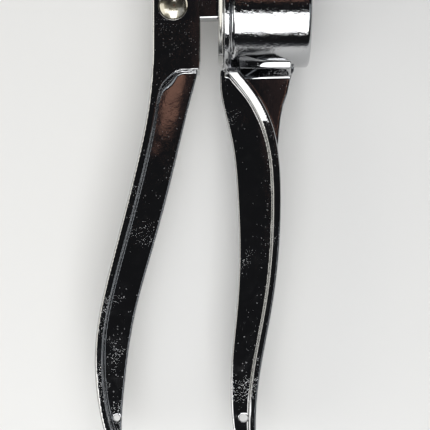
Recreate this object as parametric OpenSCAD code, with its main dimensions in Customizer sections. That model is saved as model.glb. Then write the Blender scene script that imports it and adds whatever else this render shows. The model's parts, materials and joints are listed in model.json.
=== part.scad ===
// Garlic press: two T-section levers on one hinge pin, a strainer basket in a cup, and a
// plunger that swings on a rivet in the other lever's forked head.
// The cup axis lies along X, the hinge axis along Z, and the handles run towards -Y.

/* [Linkage] */
// hinge centre, along the cup axis from the mouth plane
hinge_x = -1; // [-5:0.5:5]
// hinge centre, above the cup axis
hinge_y = 35; // [28:0.5:40]
// plunger rivet centre, along the cup axis
pivot_x = -14; // [-16:0.1:-11]
// plunger rivet centre, above the cup axis
pivot_y = -1.2; // [-3:0.1:3]
// rivet centre to plunger face
plunger_len = 34.4; // [33:0.1:36]
// how far the plunger points above the cup axis at rest, in degrees
plunger_tilt = 1.6; // [0:0.1:5]

/* [Cup] */
// outer radius of the mouth ring
ring_r = 20.5; // [19:0.1:22]
// near face of the mouth ring
ring_x = 1.75; // [1.5:0.05:2.5]
// thickness of the mouth ring
ring_t = 1.95; // [1.5:0.05:3]
// outer radius of the cup sleeve
sleeve_r = 19.45; // [18.5:0.05:20.5]
// outlet end of the cup sleeve
sleeve_end = 28.7; // [26:0.1:32]
// bore of the cup sleeve
sleeve_bore = 17.95; // [17:0.05:18.5]

/* [Basket] */
// basket inside radius at the mouth
basket_mouth = 17.45; // [16.8:0.05:17.5]
// basket inside radius at the strainer
basket_end = 16.7; // [16:0.05:17]
// basket sheet thickness
basket_t = 0.4; // [0.3:0.1:0.5]
// inside depth of the basket
basket_depth = 26; // [24:0.1:27]
// rim radius of the basket
rim_r = 19.6; // [19:0.1:20.2]
// rim thickness of the basket
rim_t = 1.6; // [1:0.1:1.7]
// radius of the strainer holes
hole_r = 1.0; // [0.7:0.1:1.2]
// pitch of the strainer holes
hole_pitch = 3.1; // [2.8:0.1:4]

/* [Plunger] */
// radius of the pressing face
disc_r = 15.35; // [14.5:0.05:15.5]
// half height of the stem
stem_h = 3.7; // [3:0.1:5]
// outer radius of the stem's eye
eye_r = 4.4; // [4:0.1:4.6]
// half thickness of the stem
stem_z = 3.6; // [2.5:0.1:5]

/* [Levers] */
// half width of the palm flanges
flange_w = 8.6; // [7:0.1:10]
// half width of the saddle between sleeve and handle, at the ring
saddle_w = 12.5; // [9:0.1:13]
// half width of the forked head
head_w = 9.2; // [8.6:0.1:11]
// thickness of the palm flanges
flange_t = 2.3; // [1.8:0.1:3.5]
// thickness of the webs
web_t = 3; // [2:0.1:4]
// half width of the gap in the forked head
fork_gap = 5.7; // [5:0.1:6.5]
// lowest point of the handles
tip_y = -144; // [-150:1:-138]
// radius of the hinge bosses
boss_r = 7.5; // [6.5:0.1:9]

/* [Rivets] */
// shank radius of both rivets
shank_r = 2.8; // [2:0.1:3.5]
// radius of the domed heads
dome_r = 4.6; // [4:0.1:6]
// height of the domed heads
dome_h = 1.7; // [1.5:0.1:3.5]
// running clearance of the shanks
running = 0.05; // [0.02:0.01:0.1]

/* [Hidden] */
$fn = 96;
lift = ring_r;
shift_x = 4.9;
shift_y = 50.82;
chrome = [0.78, 0.79, 0.8];
steel = [0.7, 0.69, 0.66];

// palm line of the plunger lever, from the head down to the tip
palm_a = [[-20.4, 24], [-20.4, 6], [-20.4, -17.5], [-22, -33.6], [-25.9, -52.3], [-33, -80],
          [-37.9, -103], [-38.4, -113], [-37.5, -124], [-35.4, -134], [-31.2, tip_y],
          [-27, tip_y - 7]];
// inner web line of the plunger lever
edge_a = [[-5.9, 5], [-5.9, -17.5], [-8.5, -29.2], [-12.5, -45.7], [-19.8, -74.2], [-26.6, -99.5],
          [-29.3, -118], [-30.3, -129], [-30.3, -138], [-29.4, tip_y + 0.6], [-27, tip_y - 8]];
// palm line of the cup lever, from the ring down to the tip
palm_b = [[0.5, -13.5], [4.2, -18.4], [11.4, -27.4], [16.5, -36.9], [18.9, -47.5], [19.6, -63],
          [18.5, -83.4], [16.5, -97.4], [13.9, -111.4], [12.1, -125], [11.9, -135],
          [12.6, tip_y], [14, tip_y - 8]];
// inner web line of the cup lever
edge_b = [[2.6, -12], [0.8, -21], [0.8, -26.8], [3.9, -41], [6.2, -61.6], [6.7, -75], [5.7, -98],
          [4.3, -113], [4.1, -125], [5.2, -136], [8.6, tip_y + 0.4], [14, tip_y - 3]];

// point at t between b and c on a smooth curve through a, b, c, d
function blend4(a, b, c, d, t) = 0.5 * (2 * b + (c - a) * t + (2 * a - 5 * b + 4 * c - d) * t * t
                                        + (3 * b - a - 3 * c + d) * t * t * t);
// smooth curve through all but the first and last points of p
function curve(p, n = 8) = [for (i = [1 : len(p) - 3]) for (k = [0 : n - 1])
                               blend4(p[i - 1], p[i], p[i + 1], p[i + 2], k / n),
                           p[len(p) - 2]];
function reversed(p) = [for (i = [len(p) - 1 : -1 : 0]) p[i]];
function unit(v) = v / norm(v);
function left_of(v) = [-v[1], v[0]];
// the curve moved sideways by d
function beside(p, d) = [for (i = [0 : len(p) - 1])
                            p[i] + d * left_of(unit(p[min(i + 1, len(p) - 1)] - p[max(i - 1, 0)]))];

// puts the model on its side on the ground, centred
module placed() {
  translate([shift_x, shift_y, lift]) children();
}

// turns a profile about the X axis; profile points are [radius, x]
module about_x() {
  rotate([0, 90, 0]) rotate_extrude() children();
}

// slab of a flat outline, from -w to w in Z
module slab(w) {
  translate([0, 0, -w]) linear_extrude(2 * w) children();
}

// outline of one palm flange, side d
module flange_line(palm, d) {
  p = curve(palm);
  polygon(concat(p, reversed(beside(p, d))));
}

// outline of one web, between the palm line and the inner line
module web_line(palm, edge, d) {
  polygon(concat(beside(curve(palm), d / 2), reversed(curve(edge))));
}

// flange width seen from the palm side, wide at the top and narrowing to a round tip
module palm_width(top, w_top) {
  rotate([0, 90, 0]) translate([0, 0, -60]) linear_extrude(120) {
    polygon([[-w_top, top], [w_top, top], [w_top, -20], [flange_w + 0.2, -38], [flange_w, -55],
             [flange_w, tip_y + flange_w], [-flange_w, tip_y + flange_w], [-flange_w, -55],
             [-flange_w - 0.2, -38], [-w_top, -20]]);
    translate([0, tip_y + flange_w]) circle(flange_w);
  }
}

// domed head standing on z = 0
module dome() {
  ball = (dome_r * dome_r + dome_h * dome_h) / (2 * dome_h);
  rotate_extrude() intersection() {
    translate([0, dome_h - ball]) circle(ball);
    square([dome_r, dome_h]);
  }
}

// headed pin: far dome below the shank, open end for the cap
module headed_pin(x, y) {
  translate([x, y, head_w]) dome();
  translate([x, y, -head_w - 0.9]) cylinder(r = shank_r, h = 2 * head_w + 1);
}

// cap pressed on the far end of the pin
module pin_cap(x, y) {
  translate([x, y, -head_w]) mirror([0, 0, 1]) difference() {
    dome();
    translate([0, 0, -1]) cylinder(r = shank_r + 0.01, h = 2.0);
  }
}

module shank_hole(x, y, r) {
  translate([x, y, -20]) cylinder(r = r, h = 40);
}

module cup_lever() {
  color(chrome) placed() difference() {
    union() {
      // mouth ring, groove behind it and sleeve
      about_x() polygon([[17, ring_x], [ring_r - 0.3, ring_x], [ring_r, ring_x + 0.3],
                         [ring_r, ring_x + ring_t - 0.3], [ring_r - 0.3, ring_x + ring_t],
                         [sleeve_r - 0.2, ring_x + ring_t + 0.5], [sleeve_r - 0.2, ring_x + ring_t + 1.2],
                         [sleeve_r, ring_x + ring_t + 1.8], [sleeve_r - 0.1, sleeve_end - 1],
                         [sleeve_r - 0.9, sleeve_end], [17, sleeve_end]]);
      // tongue of the ring and hinge lug
      translate([ring_x, 0, 0]) rotate([0, 90, 0]) linear_extrude(ring_t)
        polygon([[-13, 15.5], [-fork_gap + 0.2, 26], [fork_gap - 0.2, 26], [13, 15.5]]);
      slab(fork_gap - 0.2) {
        polygon([[ring_x, 16], [ring_x, 24], [hinge_x - boss_r * 0.94, hinge_y - 2.5],
                 [hinge_x + boss_r * 0.97, hinge_y - 1.8], [6.4, 26], [7.2, 19], [7.2, 16]]);
        translate([hinge_x, hinge_y]) circle(boss_r);
      }
      // handle
      intersection() {
        slab(ring_r) flange_line(palm_b, -flange_t);
        palm_width(-21.4, flange_w);
      }
      slab(web_t / 2) web_line(palm_b, edge_b, -flange_t);
      // gusset under the sleeve
      slab(web_t / 2) polygon([[6, -18], [24.3, -18], [24.1, -20.6], [23.1, -22.6], [22, -28], [20.7, -31.8],
                               [19.9, -35.6], [19.4, -40], [18.9, -46], [15, -36], [9, -26]]);
      // saddle that blends the sleeve into the gusset and the handle
      intersection() {
        rotate([0, 90, 0]) linear_extrude(22.8)
          polygon([[-saddle_w, -14.5], [saddle_w, -14.5], [web_t / 2, -22], [-web_t / 2, -22]]);
        rotate([90, 0, 0]) linear_extrude(30)
          polygon([[ring_x + 1, -saddle_w], [22.8, -7], [22.8, 7], [ring_x + 1, saddle_w]]);
      }
    }
    rotate([0, 90, 0]) translate([0, 0, -5]) cylinder(r = sleeve_bore, h = 45);
    shank_hole(hinge_x, hinge_y, shank_r + 0.01);
    shank_hole(8.1, -130.6, 1.3);
    // the basket rim's seat stays clear
    translate([-20, -20.4, -16]) cube([20 + ring_x, 20, 32]);
  }
}

module strainer_basket() {
  color(steel) placed() about_x()
    polygon([[basket_end, basket_depth + 0.8], [basket_end, basket_depth], [basket_mouth, rim_t],
             [basket_mouth + 0.3, 0.3], [basket_mouth + 0.6, 0.1], [rim_r - 1.1, 0.1],
             [rim_r - 0.8, 0.3], [rim_r, rim_t - 0.2], [rim_r - 0.2, rim_t + 0.1],
             [basket_mouth + basket_t, rim_t + 0.1], [basket_end + basket_t, basket_depth + 0.8]]);
}

module strainer_plate() {
  rows = ceil(basket_end / hole_pitch);
  color(steel) placed() difference() {
    about_x() polygon([[0, basket_depth], [basket_end - 0.01, basket_depth],
                       [basket_end - 0.01, basket_depth + 0.8], [0, basket_depth + 0.8]]);
    for (i = [-rows : rows]) for (j = [-rows : rows]) {
      y = hole_pitch * (i + j / 2);
      z = hole_pitch * j * sqrt(3) / 2;
      if (norm([y, z]) < basket_end - hole_r - 1)
        translate([basket_depth - 2, y, z]) rotate([0, 90, 0]) cylinder(r = hole_r, h = 4, $fn = 24);
    }
  }
}

module plunger_lever() {
  color(chrome) placed() difference() {
    union() {
      // forked head: a block with an arched lower end, and hinge bosses
      slab(head_w) {
        polygon([[-21.5, -31.5], [-18.95, -31.5], [-18.8, -30.6], [-18, -27.5], [-17.1, -25.6], [-15.3, -23.8],
                 [-13.2, -22.2], [-11.4, -21.7], [-8.7, -21.5], [-5.9, -21.4], [-5.7, -17.5], [-5.7, 21], [hinge_x + 6.2, hinge_y - 4.3],
                 [hinge_x - 4, hinge_y + 6.35], [-16.5, 27], [-19.4, 22], [-20.4, 17],
                 [-20.4, -18], [-20.7, -23], [-21.1, -28]]);
        translate([hinge_x, hinge_y]) circle(boss_r);
      }
      // handle
      intersection() {
        slab(ring_r) flange_line(palm_a, flange_t);
        palm_width(5, head_w);
      }
      slab(web_t / 2) web_line(palm_a, edge_a, flange_t);
    }
    // gap of the fork
    slab(fork_gap) polygon([[-18.7, -14], [-15.7, -17.5], [30, -17.5], [30, 60], [-30, 60],
                            [-30, 24], [-18.7, 18]]);
    shank_hole(hinge_x, hinge_y, shank_r + running);
    shank_hole(pivot_x, pivot_y, shank_r + 0.01);
    shank_hole(-32.05, -130.6, 1.05);
  }
}

module plunger() {
  back = plunger_len - 0.8;
  color(chrome) placed() translate([pivot_x, pivot_y, 0]) rotate([0, 0, plunger_tilt]) difference() {
    union() {
      cylinder(r = eye_r, h = 2 * (fork_gap - 0.15), center = true);
      slab(stem_z) polygon([[0, 0.4 - eye_r], [4, -stem_h], [back - 6, -stem_h], [back - 2.5, -8.5], [back - 2.5, 8.5],
                            [back - 6, stem_h], [4, stem_h], [0, eye_r - 0.4]]);
      // cross rib and pressing disc
      translate([0, -1.4, 0]) rotate([-90, 0, 0]) linear_extrude(2.8)
        polygon([[15, -stem_z + 0.5], [18, -stem_z + 0.5], [back - 4, -10.5], [back - 2, -10.5],
                 [back - 2, 10.5], [back - 4, 10.5], [18, stem_z - 0.5], [15, stem_z - 0.5]]);
      about_x() polygon([[0, back - 4.6], [6.5, back - 4.2], [disc_r - 0.4, back - 0.6], [disc_r, back - 0.2],
                         [disc_r, plunger_len - 0.5], [disc_r - 0.5, plunger_len], [0, plunger_len]]);
    }
    shank_hole(0, 0, shank_r + running);
  }
}

module plunger_rivet() {
  color(steel) placed() headed_pin(pivot_x, pivot_y);
}

module plunger_rivet_cap() {
  color(steel) placed() pin_cap(pivot_x, pivot_y);
}

module hinge_rivet() {
  color(steel) placed() headed_pin(hinge_x, hinge_y);
}

module hinge_rivet_cap() {
  color(steel) placed() pin_cap(hinge_x, hinge_y);
}

cup_lever();
strainer_basket();
strainer_plate();
plunger_lever();
plunger();
plunger_rivet();
plunger_rivet_cap();
hinge_rivet();
hinge_rivet_cap();
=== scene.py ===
import json
import math

import bmesh
import bpy
import numpy as np
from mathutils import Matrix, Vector


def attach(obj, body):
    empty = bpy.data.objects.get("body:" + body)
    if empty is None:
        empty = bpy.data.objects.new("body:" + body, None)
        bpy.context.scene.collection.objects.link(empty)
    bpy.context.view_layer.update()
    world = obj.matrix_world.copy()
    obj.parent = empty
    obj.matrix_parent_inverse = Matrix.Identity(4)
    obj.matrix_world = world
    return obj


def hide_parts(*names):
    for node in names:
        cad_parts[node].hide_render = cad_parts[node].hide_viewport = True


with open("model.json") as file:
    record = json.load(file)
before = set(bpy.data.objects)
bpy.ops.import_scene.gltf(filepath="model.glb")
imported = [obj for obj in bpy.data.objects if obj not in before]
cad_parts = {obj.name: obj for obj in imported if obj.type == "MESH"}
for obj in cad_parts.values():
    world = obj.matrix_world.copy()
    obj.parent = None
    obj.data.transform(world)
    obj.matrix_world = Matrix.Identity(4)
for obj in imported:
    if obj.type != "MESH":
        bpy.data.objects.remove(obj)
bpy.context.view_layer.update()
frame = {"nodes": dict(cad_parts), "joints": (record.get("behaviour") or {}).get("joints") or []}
joints = {j["name"]: j for j in frame["joints"]}
hinge = joints["lever_hinge"]["pos_m"]

# ---------------------------------------------------------------- sizes
# Millimetres from the middle of the cup's mouth: x along the cup, y towards the hinge, z up.
HINGE, PIVOT = (-1.0, 35.0), (-14.0, -1.2)     # the two rivets' axes
OFF = np.array([hinge[0] * 1000 - HINGE[0], hinge[1] * 1000 - HINGE[1], hinge[2] * 1000])
TIP = -144.0                # ends of both handles
HOLE_A, HOLE_B = (-32.05, -130.6), (8.1, -130.6)   # tie holes
BOSS_R = 7.5                # round ends at the hinge
SHANK_R = 2.8               # rivets
CHEEK = 9.2                 # half width of the forked head
FORK = 5.7                  # half width of the fork's gap
RING_R, RING_X, RING_T = 20.5, 2.72, 0.97          # mouth ring: radius, middle, half thickness
SLEEVE_R, SLEEVE_END, BORE_R = 19.5, 28.7, 17.95
DISC_R, DISC_A = 15.35, 34.4                       # pressing disc: radius, distance from its rivet
TILT = math.radians(1.6)    # the plunger's axis above the cup's
BEVEL, BEVEL_SLOPE = 0.6, 0.6                      # along the flanges' outer edges
STEP = 0.36                 # mesh size of the castings


# ---------------------------------------------------------------- distance fields
def smin(a, b, k):
    h = np.maximum(k - np.abs(a - b), 0) / k
    return np.minimum(a, b) - h * h * k * 0.25


def smax(a, b, k):
    return -smin(-a, -b, k)


def polygon(x, y, pts):
    """Signed distance to a closed outline, negative inside."""
    x, y = np.broadcast_arrays(x, y)
    best = np.full(x.shape, 1e9)
    inside = np.zeros(x.shape, bool)
    n = len(pts)
    for i in range(n):
        (ax, ay), (bx, by) = pts[i], pts[(i + 1) % n]
        ex, ey = bx - ax, by - ay
        t = np.clip(((x - ax) * ex + (y - ay) * ey) / (ex * ex + ey * ey), 0, 1)
        dx, dy = x - ax - t * ex, y - ay - t * ey
        best = np.minimum(best, dx * dx + dy * dy)
        if ay != by:
            hit = ((ay > y) != (by > y)) & (x < ax + (y - ay) * ex / ey)
            inside ^= hit
    d = np.sqrt(best)
    return np.where(inside, -d, d)


def spline(points):
    """Natural cubic through (x, y) points, as x of y, tabulated finely with its slope."""
    p = np.array(sorted(points, key=lambda q: q[1]), float)
    t, v = p[:, 1], p[:, 0]
    n = len(t)
    h = np.diff(t)
    a = np.zeros((n, n))
    b = np.zeros(n)
    a[0, 0] = a[-1, -1] = 1
    for i in range(1, n - 1):
        a[i, i - 1], a[i, i], a[i, i + 1] = h[i - 1], 2 * (h[i - 1] + h[i]), h[i]
        b[i] = 6 * ((v[i + 1] - v[i]) / h[i] - (v[i] - v[i - 1]) / h[i - 1])
    m = np.linalg.solve(a, b)
    ys = np.arange(t[0], t[-1], 0.05)
    i = np.clip(np.searchsorted(t, ys, side="right") - 1, 0, n - 2)
    s, hh = ys - t[i], h[i]
    xs = (v[i] + s * ((v[i + 1] - v[i]) / hh - hh * (2 * m[i] + m[i + 1]) / 6)
          + s * s * m[i] / 2 + s ** 3 * (m[i + 1] - m[i]) / (6 * hh))
    return ys, xs, np.gradient(xs, ys)


def handle(x, y, z, palm, edge, side, width, thick, slant):
    """T-section handle: its palm flange, and its web, which thins towards the free edge."""
    ys, xs, ds = palm
    gp, sp = np.interp(y, ys, xs), np.interp(y, ys, ds)
    d_out = side * (x - gp) / np.sqrt(1 + sp * sp)
    ys, xs, ds = edge
    ge, se = np.interp(y, ys, xs), np.interp(y, ys, ds)
    d_in = -side * (x - ge) / np.sqrt(1 + se * se)
    t_f = np.interp(y, thick[0], thick[1])
    w = np.interp(y, width[0], width[1]) - slant * np.maximum(d_out - 0.32 * t_f, -0.25)
    w = w - BEVEL_SLOPE * np.maximum(BEVEL - d_out, 0)
    flange = smax(np.abs(d_out - t_f / 2) - t_f / 2, np.abs(z) - w, 0.4)
    depth = np.clip(d_in, 0, 12)
    half = 1.1 + 0.123 * depth - 0.0048 * depth * depth
    web = smax(smax(1.1 - d_out, -d_in, 0.4), np.abs(z) - half, 0.6)
    return smax(flange, TIP - y, 2.5), smax(web, TIP - y, 2.5)


def sweep(table):
    """A smooth width table from a few (y, half width) points."""
    p = np.array(sorted(table), float)
    ys = np.arange(p[0, 0], p[-1, 0], 0.5)
    ws = np.interp(ys, p[:, 0], p[:, 1])
    k = np.exp(-0.5 * (np.arange(-12, 13) / 5.0) ** 2)
    pad = np.pad(ws, 12, mode="edge")
    return ys, np.convolve(pad, k / k.sum(), mode="valid")


# Palm and free edge of each handle: A is the plunger lever, B the cup lever.
PALM_A = spline([(-20.4, 24), (-20.4, 6), (-20.4, -8), (-20.5, -17.5), (-22, -33.6), (-25.9, -52.3), (-33, -80),
                 (-37.9, -103), (-38.4, -113), (-37.5, -124), (-35.4, -134), (-31.2, TIP), (-27, TIP - 7)])
EDGE_A = spline([(-5.9, 5), (-5.9, -8), (-5.9, -17.5), (-8.5, -29.2), (-12.5, -45.7), (-19.8, -74.2), (-26.6, -99.5),
                 (-29.3, -118), (-30.3, -129), (-30.3, -138), (-29.4, TIP + 0.6), (-27, TIP - 8)])
PALM_B = spline([(0.5, -13.5), (4.2, -18.4), (11.4, -27.4), (16.5, -36.9), (18.9, -47.5), (19.6, -63), (18.5, -83.4),
                 (16.5, -97.4), (13.9, -111.4), (12.1, -125), (11.9, -135), (12.6, TIP), (14, TIP - 8)])
EDGE_B = spline([(2.6, -12), (0.8, -21), (0.8, -26.8), (3.9, -41), (6.2, -61.6), (6.7, -75), (5.7, -98), (4.3, -113),
                 (4.1, -125), (5.2, -136), (8.6, TIP + 0.4), (12, TIP - 3)])


def tip_round(table, r):
    """A width table that closes to a half circle at the tip."""
    ys, ws = sweep(table)
    c = TIP + r
    cap = np.sqrt(np.clip(r * r - (ys - c) ** 2, 0.01, None))
    return ys, np.where(ys < c, np.minimum(ws, cap), ws)


WIDTH_A = tip_round([(-160, 8.6), (-90, 8.6), (-45, 9.2), (30, 9.2)], 8.6)
WIDTH_B = tip_round([(-160, 8.6), (30, 8.8)], 8.6)
THICK_A = sweep([(-160, 2.3), (-100, 2.4), (-60, 2.7), (30, 2.7)])
THICK_B = sweep([(-160, 2.3), (-90, 2.3), (-50, 2.6), (-38, 3.1), (30, 3.2)])

HEAD = [(-21.55, -31.5), (-18.95, -31.5), (-18.8, -30.6), (-18.0, -27.2), (-17.0, -25.25), (-15.2, -23.4),
        (-13.2, -21.85), (-11.4, -21.3), (-8.7, -21.1), (-5.85, -21.05), (-5.65, -17.5), (-5.65, 21), (5.2, 30.7),
        (-5, 41.35), (-16.5, 27), (-19.4, 22), (-20.4, 17), (-20.42, -18), (-20.7, -23), (-21.15, -28)]
FORK_GAP = [(-18.7, -14), (-15.7, -17.5), (30, -17.5), (30, 60), (-30, 60), (-30, 24), (-18.7, 18)]


def lever_a(x, y, z):
    """Plunger lever: forked head, hinge bosses and handle."""
    head = polygon(x, y, HEAD)
    head = smin(head, np.hypot(x - HINGE[0], y - HINGE[1]) - BOSS_R, 4.0)
    head = smax(head, np.abs(z) - CHEEK, 0.22)
    palm = np.interp(y, PALM_A[0], PALM_A[1])
    bevel = 0.86 * (np.abs(z) - CHEEK + BEVEL_SLOPE * (BEVEL - x + palm))
    head = smax(head, bevel, 0.1)
    flange, web = handle(x, y, z, PALM_A, EDGE_A, 1, WIDTH_A, THICK_A, 0.0)
    flange, web = smax(flange, y + 15, 1.0), smax(web, y - 3, 1.0)
    # the fillet widens in the corner of the arch
    fillet = 0.4 + 2.0 * np.exp(-((x + 15.6) ** 2 + (y + 24.6) ** 2) / 9)
    body = smin(np.minimum(head, flange), web, fillet)
    gap = smax(polygon(x, y, FORK_GAP), np.abs(z) - FORK, 0.6)
    body = smax(body, -gap, 0.8)
    for (cx, cy), r in ((HINGE, 2.85), (PIVOT, 2.81), (HOLE_A, 1.05)):
        body = smax(body, r - np.hypot(x - cx, y - cy), 0.35)
    return body


GUSSET = [(5, -17), (24.2, -17), (24.1, -20.6), (23.1, -22.6), (22, -28), (20.7, -31.8), (19.9, -35.6), (19.4, -40),
          (18.9, -46), (15, -36), (9, -26)]
LUG = [(1.75, 14), (1.75, 24), (-8.05, 32.5), (6.27, 33.2), (6.4, 26), (7.2, 19), (7.2, 14)]
TONGUE = [(-13, 14), (-5.5, 26), (5.5, 26), (13, 14)]
# Saddle, as (half width, height) points: the shelf's two edges, and the foot of its wall on the gusset.
SHELF_TOP, SHELF_EDGE, WALL_FOOT = (6.6, -18.3), (5.7, -20.35), (1.5, -22.55)


def facet(y, z, a, b):
    """Distance to the plane through two (half width, height) points, negative below it."""
    dy, dz = b[1] - a[1], b[0] - a[0]
    n = np.sqrt(dy * dy + dz * dz)
    return ((np.abs(z) - a[0]) * -dy + (y - a[1]) * dz) / n


def lever_b(x, y, z):
    """Cup lever: mouth ring, sleeve, hinge lug, gusset and handle."""
    r = np.hypot(y, z)
    ring = smax(r - RING_R, np.abs(x - RING_X) - RING_T, 0.4)
    groove = 0.35 * np.exp(-((x - 4.35) / 0.45) ** 2)
    sleeve = smax(r - (SLEEVE_R - 0.004 * x - groove), x - SLEEVE_END, 1.3)
    sleeve = smax(sleeve, 2.5 - x, 0.5)
    cup = smin(ring, sleeve, 0.5)
    tongue = smax(polygon(z, y, TONGUE), np.abs(x - RING_X) - RING_T, 0.7)
    lug = smin(polygon(x, y, LUG), np.hypot(x - HINGE[0], y - HINGE[1]) - BOSS_R, 1.5)
    lug = smax(lug, np.abs(z) - 5.5, 1.0)
    cup = smin(cup, smin(tongue, lug, 2.5), 2.0)
    gusset = smax(polygon(x, y, GUSSET), np.abs(z) - 1.5 - 0.035 * (x - 18), 0.7)
    # saddle: a long shelf under the sleeve, and a cone that opens towards the ring
    zs = np.interp(x, [3, 4.4, 15.5, 23.2], [10.8, 10.3, 6.6, 6.4])
    ys = -np.sqrt(19.4 ** 2 - zs * zs)
    shelf = facet(y, z, SHELF_TOP, SHELF_EDGE)
    cone = smax(facet(y, z, (zs, ys), (5.5, -20.5)), np.abs(z) - zs - 0.1, 0.3)
    saddle = smax(smin(shelf, cone, 0.4), facet(y, z, SHELF_EDGE, WALL_FOOT), 0.3)
    ends = np.maximum(smax(2.4 - x, x - 22.9, 0.3), np.maximum(y + 10, -23.2 - y))
    saddle = smax(saddle, ends, 0.4)
    cup = smin(cup, saddle, 0.5)
    slant = np.interp(y, [-47, -37], [0.2, 0.36])
    flange, web = handle(x, y, z, PALM_B, EDGE_B, -1, WIDTH_B, THICK_B, slant)
    flange, web = smax(flange, y + 21.5, 0.5), smax(web, y + 13.8, 0.8)
    body = smin(smin(cup, gusset, 0.8), flange, 0.7)
    body = smin(body, web, 0.4)
    body = smax(body, BORE_R - r, 0.35)
    # flat seat for the basket's rim
    seat = smax(smax(x - 1.75, -20.4 - y, 0.3), y, 0.3)
    body = smax(body, -seat, 0.3)
    for (cx, cy), rr in ((HINGE, 2.81), (HOLE_B, 1.3)):
        body = smax(body, rr - np.hypot(x - cx, y - cy), 0.35)
    return body


STEM = [(0, -4.0), (4, -3.7), (27.6, -3.7), (31.1, -8.5), (31.1, 8.5), (27.6, 3.7), (4, 3.7), (0, 4.0)]
RIB = [(15, -3.1), (18, -3.1), (29.6, -10.5), (31.6, -10.5), (31.6, 10.5), (29.6, 10.5), (18, 3.1), (15, 3.1)]


def plunger(x, y, z):
    """Plunger, drawn along its own axis from its rivet."""
    dx, dy = x - PIVOT[0], y - PIVOT[1]
    c, s = math.cos(TILT), math.sin(TILT)
    a, b = c * dx + s * dy, -s * dx + c * dy
    eye = smax(np.hypot(a, b) - 4.4, np.abs(z) - 5.55, 0.5)
    stem = smax(polygon(a, b, STEM), np.abs(z) - 3.6, 1.2)
    rib = smax(polygon(a, z, RIB), np.abs(b) - 1.4, 0.6)
    r = np.hypot(b, z)
    back = (DISC_A - 1 - 0.42 * (DISC_R - np.minimum(r, DISC_R)) - a) * 0.92
    disc = smax(smax(r - DISC_R, a - DISC_A, 0.9), back, 0.5)
    body = smin(smin(eye, stem, 1.0), smin(rib, disc, 1.8), 1.6)
    return smax(body, 2.85 - np.hypot(dx, dy), 0.3)


# ---------------------------------------------------------------- surface of a field
def surface(field, lo, hi, h, name):
    """Surface nets on a grid of step h, with each point moved onto the surface and given the field's normal."""
    axes = [np.arange(lo[i], hi[i] + h, h) for i in range(3)]
    f = field(axes[0][:, None, None], axes[1][None, :, None], axes[2][None, None, :]).astype(np.float32)
    s = f < 0
    n = [len(a) - 1 for a in axes]
    count = np.zeros(n, np.uint8)
    corners = [(i, j, k) for i in (0, 1) for j in (0, 1) for k in (0, 1)]
    for i, j, k in corners:
        count += s[i:i + n[0], j:j + n[1], k:k + n[2]]
    cells = np.argwhere((count > 0) & (count < 8))
    ident = np.full(n, -1, np.int32)
    ident[tuple(cells.T)] = np.arange(len(cells))
    total, hits = np.zeros((len(cells), 3)), np.zeros(len(cells))
    for a in corners:
        for axis in range(3):
            if a[axis]:
                continue
            b = list(a)
            b[axis] = 1
            fa = f[tuple((cells + a).T)]
            fb = f[tuple((cells + b).T)]
            cross = (fa < 0) != (fb < 0)
            t = np.where(cross, fa / np.where(cross, fa - fb, 1), 0)
            p = np.array(a, float)[None, :] + t[:, None] * (np.array(b) - np.array(a))[None, :]
            total += np.where(cross[:, None], p, 0)
            hits += cross
    v = np.array([a[0] for a in axes]) + h * (cells + total / hits[:, None])
    quads = []
    for axis in range(3):
        u, w = (axis + 1) % 3, (axis + 2) % 3
        low = [slice(None)] * 3
        high = [slice(None)] * 3
        low[axis], high[axis] = slice(0, -1), slice(1, None)
        for t in (u, w):
            low[t] = high[t] = slice(1, -1)
        change = s[tuple(low)] != s[tuple(high)]
        starts = np.argwhere(change)
        for t in (u, w):
            starts[:, t] += 1
        inward = s[tuple(starts.T)]
        ring = []
        for du, dw in ((-1, -1), (0, -1), (0, 0), (-1, 0)):
            c = starts.copy()
            c[:, u] += du
            c[:, w] += dw
            ring.append(ident[tuple(c.T)])
        q = np.stack(ring, 1)
        q[~inward] = q[~inward][:, ::-1]
        quads.append(q)
    quads = np.concatenate(quads)

    def value(p):
        return field(p[:, 0], p[:, 1], p[:, 2])

    def slope(p, e=0.06):
        g = np.empty_like(p)
        for i in range(3):
            d = np.zeros(3)
            d[i] = e
            g[:, i] = (value(p + d) - value(p - d)) / (2 * e)
        return g

    for _ in range(2):
        g = slope(v)
        step = (value(v) / np.maximum((g * g).sum(1), 0.25))[:, None] * g
        v -= np.clip(step, -0.4 * h, 0.4 * h)
    g = slope(v, 0.1)
    normals = g / np.maximum(np.linalg.norm(g, axis=1), 1e-6)[:, None]
    mesh = bpy.data.meshes.new(name)
    mesh.from_pydata(((v + OFF) / 1000).tolist(), [], quads.tolist())
    mesh.polygons.foreach_set("use_smooth", np.ones(len(mesh.polygons), bool))
    mesh.normals_split_custom_set_from_vertices(normals.tolist())
    mesh.update()
    ob = bpy.data.objects.new(name, mesh)
    bpy.context.scene.collection.objects.link(ob)
    print("surface", name, len(v), "points")
    return ob


def arc(cr, ca, r, a0, a1, n=7):
    """Points of an arc in a lathe profile, from angle a0 to a1 in degrees (0 points outwards)."""
    t = [math.radians(a0 + (a1 - a0) * i / (n - 1)) for i in range(n)]
    return [(cr + r * math.cos(v), ca + r * math.sin(v)) for v in t]


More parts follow.
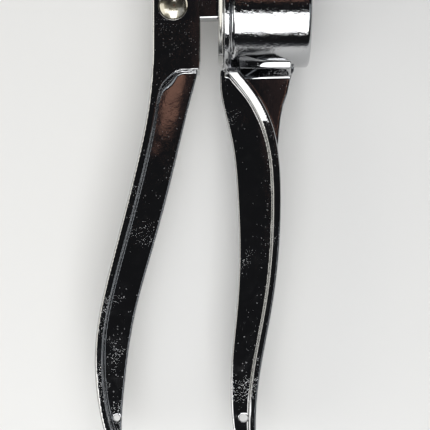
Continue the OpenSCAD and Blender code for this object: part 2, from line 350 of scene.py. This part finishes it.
def lathe(name, profile, place, n=128):
    """Turns a closed (radius, along) profile; place maps (radius, along, angle) arrays to local millimetres."""
    p = np.array(profile, float)
    m = len(p)
    turn = np.arange(n) * 2 * math.pi / n
    t, r = np.meshgrid(turn, p[:, 0], indexing="ij")
    t, a = np.meshgrid(turn, p[:, 1], indexing="ij")
    v = np.stack(place(r, a, t), -1).reshape(-1, 3)
    faces = [(i * m + j, ((i + 1) % n) * m + j, ((i + 1) % n) * m + (j + 1) % m, i * m + (j + 1) % m)
             for i in range(n) for j in range(m)]
    mesh = bpy.data.meshes.new(name)
    mesh.from_pydata(((v + OFF) / 1000).tolist(), [], faces)
    mesh.update()
    bm = bmesh.new()
    bm.from_mesh(mesh)
    bmesh.ops.remove_doubles(bm, verts=bm.verts, dist=1e-6)
    bmesh.ops.recalc_face_normals(bm, faces=bm.faces)
    for f in bm.faces:
        f.smooth = True
    for e in bm.edges:
        e.smooth = len(e.link_faces) < 2 or e.calc_face_angle(0) < math.radians(32)
    bm.to_mesh(mesh)
    bm.free()
    ob = bpy.data.objects.new(name, mesh)
    bpy.context.scene.collection.objects.link(ob)
    return ob


def rivet(name, at, shank):
    """A domed head, with the shank below it, or with the shank's hole in it."""
    ball, top = 7.1, CHEEK + 1.62
    dome = [(ball * math.sin(t), top - ball * (1 - math.cos(t))) for t in np.linspace(0.0, 0.62, 12)]
    edge = arc(4.3, CHEEK + 0.3, 0.3, 40, -90, 6)
    if shank:
        side, prof = 1, dome + edge + [(SHANK_R, CHEEK), (SHANK_R, -9.9), (2.55, -10.1), (0, -10.1)]
    else:
        side, prof = -1, dome + edge + [(SHANK_R + 0.01, CHEEK), (SHANK_R + 0.01, 10.15), (0, 10.15)]
    return lathe(name, prof, lambda r, a, t: (at[0] + r * np.cos(t), at[1] + r * np.sin(t), side * a), 72)


casting_a = surface(lever_a, (-40, -146, -10.6), (8.5, 44.5, 10.6), STEP, "lever_a")
casting_b = surface(lever_b, (-10, -146, -21.6), (30.5, 44.5, 21.6), STEP, "lever_b")
press = surface(plunger, (-20, -17, -16.6), (23.5, 18, 16.6), STEP, "press")
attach(casting_a, "lever")
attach(casting_b, "cup")
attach(press, "plunger")
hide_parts("plunger_lever")
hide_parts("cup_lever")
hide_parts("plunger")

# (radius, along): the rolled rim from its inner edge outwards, then the wall down to the strainer
shape = (arc(18.0, 0.65, 0.55, 180, 270)
         + [(18.5, 0.1), (18.66, 0.16), (18.8, 0.3), (18.97, 0.52), (19.15, 0.8), (19.34, 1.12)]
         + arc(19.34, 1.44, 0.24, -20, 90, 7)
         + [(18.0, 1.7), (17.87, 1.8), (17.1, 26.7), (17.0, 26.8), (16.7, 26.8), (16.7, 26.0)])
basket = lathe("basket", shape, lambda r, a, t: (a, r * np.cos(t), r * np.sin(t)), 192)
pieces = {"strainer_basket": (basket, "cup", "stainless_sheet"),
          "plunger_rivet": (rivet("pivot_rivet", PIVOT, True), "lever", "rivet_steel"),
          "plunger_rivet_cap": (rivet("pivot_cap", PIVOT, False), "lever", "rivet_steel"),
          "hinge_rivet": (rivet("hinge_rivet_head", HINGE, True), "cup", "rivet_steel"),
          "hinge_rivet_cap": (rivet("hinge_cap", HINGE, False), "cup", "rivet_steel")}
for node, (ob, body, slot_name) in pieces.items():
    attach(ob, body)
    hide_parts(node)


# ---------------------------------------------------------------- materials
def shader(name, color, metallic, rough):
    m = bpy.data.materials.new(name)
    m.use_nodes = True
    nt = m.node_tree
    p = nt.nodes["Principled BSDF"]
    p.inputs["Base Color"].default_value = (*color, 1)
    p.inputs["Metallic"].default_value = metallic
    p.inputs["Roughness"].default_value = rough
    return m, nt, p


class Nodes:
    """Short names for the few shader nodes that both finishes use."""

    def __init__(self, nt):
        self.new, self.link = nt.nodes.new, nt.links.new
        self.co = self.new("ShaderNodeTexCoord").outputs["Object"]

    def noise(self, scale, detail=3.0, rough=0.5, warp=0.0):
        t = self.new("ShaderNodeTexNoise")
        t.inputs["Scale"].default_value = scale
        t.inputs["Detail"].default_value = detail
        t.inputs["Roughness"].default_value = rough
        t.inputs["Distortion"].default_value = warp
        self.link(self.co, t.inputs["Vector"])
        return t.outputs["Fac"]

    def ramp(self, value, a, b, lo=0.0, hi=1.0):
        r = self.new("ShaderNodeMapRange")
        for k, v in (("From Min", a), ("From Max", b), ("To Min", lo), ("To Max", hi)):
            r.inputs[k].default_value = v
        self.link(value, r.inputs["Value"])
        return r.outputs["Result"]

    def calc(self, op, a, b):
        n = self.new("ShaderNodeMath")
        n.operation = op
        for i, v in enumerate((a, b)):
            if isinstance(v, (int, float)):
                n.inputs[i].default_value = v
            else:
                self.link(v, n.inputs[i])
        return n.outputs[0]

    def bump(self, height, distance, strength=1.0):
        n = self.new("ShaderNodeBump")
        n.inputs["Strength"].default_value = strength
        n.inputs["Distance"].default_value = distance
        self.link(height, n.inputs["Height"])
        return n.outputs["Normal"]


def chrome(name):
    """Plated zinc casting: a mirror with slow ripples, streaks and clustered pits, less even on the cup."""
    m, nt, p = shader(name, (0.47, 0.475, 0.485), 1.0, 0.05)
    q = Nodes(nt)
    # pits: some of the cells, more of them inside the patches
    cells = q.new("ShaderNodeTexVoronoi")
    cells.inputs["Scale"].default_value = 1500
    q.link(q.co, cells.inputs["Vector"])
    split = q.new("ShaderNodeSeparateColor")
    q.link(cells.outputs["Color"], split.inputs["Color"])
    patch = q.ramp(q.noise(85, 3, 0.6), 0.42, 0.64, 0.985, 0.70)
    pick = q.calc("GREATER_THAN", split.outputs[0], patch)
    size = q.ramp(split.outputs[1], 0, 1, 0.10, 0.36)
    pit = q.calc("MULTIPLY", pick, q.calc("GREATER_THAN", size, cells.outputs["Distance"]))
    grain = q.ramp(q.noise(2600, 2, 0.6), 0.60, 0.74)
    grain = q.calc("MULTIPLY", grain, q.ramp(q.noise(78, 2), 0.5, 0.75))
    streak = q.ramp(q.noise(150, 5, 0.65, 1.5), 0.40, 0.72, 0.03, 0.13)
    q.link(q.calc("ADD", streak, q.calc("MULTIPLY", pit, 0.22)), p.inputs["Roughness"])
    # ripples: stronger away from the middle plane, which is only the cup
    axis = q.new("ShaderNodeSeparateXYZ")
    q.link(q.co, axis.inputs[0])
    away = q.calc("ABSOLUTE", q.calc("SUBTRACT", axis.outputs["Z"], float(hinge[2])), 0.0)
    uneven = q.ramp(away, 0.0095, 0.013, 0.25, 1.7)
    height = q.calc("MULTIPLY", q.noise(48, 2), 0.20)
    for scale, rough, depth in ((210, 0.62, 0.08), (700, 0.65, 0.06)):
        ripple = q.calc("MULTIPLY", q.noise(scale, 4, rough), depth)
        height = q.calc("ADD", height, q.calc("MULTIPLY", uneven, ripple))
    height = q.calc("SUBTRACT", height, q.calc("MULTIPLY", pit, 0.09))
    height = q.calc("SUBTRACT", height, q.calc("MULTIPLY", grain, 0.04))
    q.link(q.bump(height, 0.0007), p.inputs["Normal"])
    return m


def steel(name, color, rough, wear=0.15):
    """Worn nickel or stainless sheet: fine scratches and cloudy patches."""
    m, nt, p = shader(name, color, 1.0, rough)
    q = Nodes(nt)
    fine, cloud = q.noise(900, 4), q.noise(260, 3)
    scratch, patch = q.ramp(fine, 0.2, 0.8, rough * 0.7, rough * 1.3), q.ramp(cloud, 0.3, 0.7, 0.8, 1.3)
    q.link(q.calc("MULTIPLY", scratch, patch), p.inputs["Roughness"])
    height = q.calc("ADD", q.calc("MULTIPLY", cloud, wear), q.calc("MULTIPLY", fine, 0.1))
    q.link(q.bump(height, 0.0002), p.inputs["Normal"])
    return m


plate = chrome("chrome_plate")
sheet = steel("stainless_sheet", (0.58, 0.58, 0.57), 0.14)
nickel = steel("rivet_nickel", (0.43, 0.40, 0.31), 0.3, 0.3)
finish = nickel.node_tree.nodes["Principled BSDF"].inputs
finish["Coat Weight"].default_value = 1.0
finish["Coat IOR"].default_value = 2.5
finish["Coat Roughness"].default_value = 0.1
for ob in (casting_a, casting_b, press):
    ob.data.materials.append(plate)
for ob, body, slot_name in pieces.values():
    ob.data.materials.append(sheet if ob is basket else nickel)
for slot in frame["nodes"]["strainer_plate"].material_slots:
    slot.material = sheet


# ---------------------------------------------------------------- studio
def floor():
    bpy.ops.mesh.primitive_plane_add(size=30, location=(0, 0, 0))
    ob = bpy.context.object
    ob.name = "floor"
    m, nt, p = shader("floor_pale", (0.8, 0.8, 0.79), 0.0, 0.7)
    ob.data.materials.append(m)


def panel(name, place, size, power, color=(1, 1, 1), aim=None, glossy=True):
    """A rectangular light, facing straight down unless it has an aim."""
    data = bpy.data.lights.new(name, "AREA")
    data.shape = "RECTANGLE"
    data.size, data.size_y = size
    data.energy = power
    data.color = color
    ob = bpy.data.objects.new(name, data)
    bpy.context.scene.collection.objects.link(ob)
    ob.location = place
    if aim is not None:
        ob.rotation_euler = (Vector(aim) - Vector(place)).to_track_quat("-Z", "Y").to_euler()
    ob.visible_glossy = glossy
    return ob


def surroundings():
    """A dark room with a pale band just above the horizon."""
    world = bpy.data.worlds.new("studio")
    bpy.context.scene.world = world
    world.use_nodes = True
    nt = world.node_tree
    co = nt.nodes.new("ShaderNodeTexCoord")
    sep = nt.nodes.new("ShaderNodeSeparateXYZ")
    ramp = nt.nodes.new("ShaderNodeValToRGB")
    stops = ramp.color_ramp.elements
    stops[0].position, stops[0].color = 0.0, (0.32, 0.33, 0.34, 1)
    stops[1].position, stops[1].color = 0.14, (0.0135, 0.0138, 0.015, 1)
    stops.new(0.04).color = (0.13, 0.13, 0.14, 1)
    nt.links.new(co.outputs["Generated"], sep.inputs[0])
    nt.links.new(sep.outputs["Z"], ramp.inputs["Fac"])
    nt.links.new(ramp.outputs["Color"], nt.nodes["Background"].inputs["Color"])


floor()
surroundings()
cx, cy, cz = OFF / 1000
# a window low in the picture, with a pane to its left and a wall to its right
panel("softbox", (cx - 0.01, cy - 0.95, cz + 0.95), (0.80, 1.12), 12)
panel("window_side", (cx - 0.72, cy - 0.47, cz + 0.95), (0.60, 0.48), 2.3)
panel("wall", (cx + 0.80, cy - 0.62, cz + 0.95), (0.85, 1.0), 1.4, (0.9, 0.95, 1))
# a small lamp beyond the hinge, and a bright strip low on the left
panel("lamp", (cx + 0.10, cy + 0.60, cz + 0.95), (0.20, 0.25), 0.5)
panel("strip", (cx - 1.08, cy - 0.20, cz + 0.56), (1.1, 0.75), 4.2, (1, 0.97, 0.88), (cx, cy, cz))
# a brown shelf overhead, which the flat webs mirror
panel("shelf", (cx + 0.09, cy + 0.08, cz + 1.0), (0.10, 0.16), 0.013, (1, 0.5, 0.34))
panel("shelf_side", (cx + 0.095, cy + 0.11, cz + 1.02), (0.22, 0.24), 0.0036, (1, 0.52, 0.45))
# the floor's light, which the metal doesn't mirror
panel("fill", (0.1, 0.1, 1.7), (1.8, 1.8), 13, glossy=False)
bpy.context.scene.view_settings.view_transform = "Standard"

# ---------------------------------------------------------------- camera
# straight above the point of view, in millimetres from the cup's mouth; 136.5 mm across at that distance
EYE, DISTANCE, ACROSS, SENSOR = (-0.95, -66.3), 420, 136.5, 36
cam = bpy.data.cameras.new("cam")
cam.sensor_width = SENSOR
cam.lens = SENSOR * DISTANCE / ACROSS
eye = bpy.data.objects.new("cam", cam)
bpy.context.scene.collection.objects.link(eye)
eye.location = ((OFF[0] + EYE[0]) / 1000, (OFF[1] + EYE[1]) / 1000, (OFF[2] + DISTANCE) / 1000)
eye.rotation_euler = (0, 0, 0)
bpy.context.scene.camera = eye
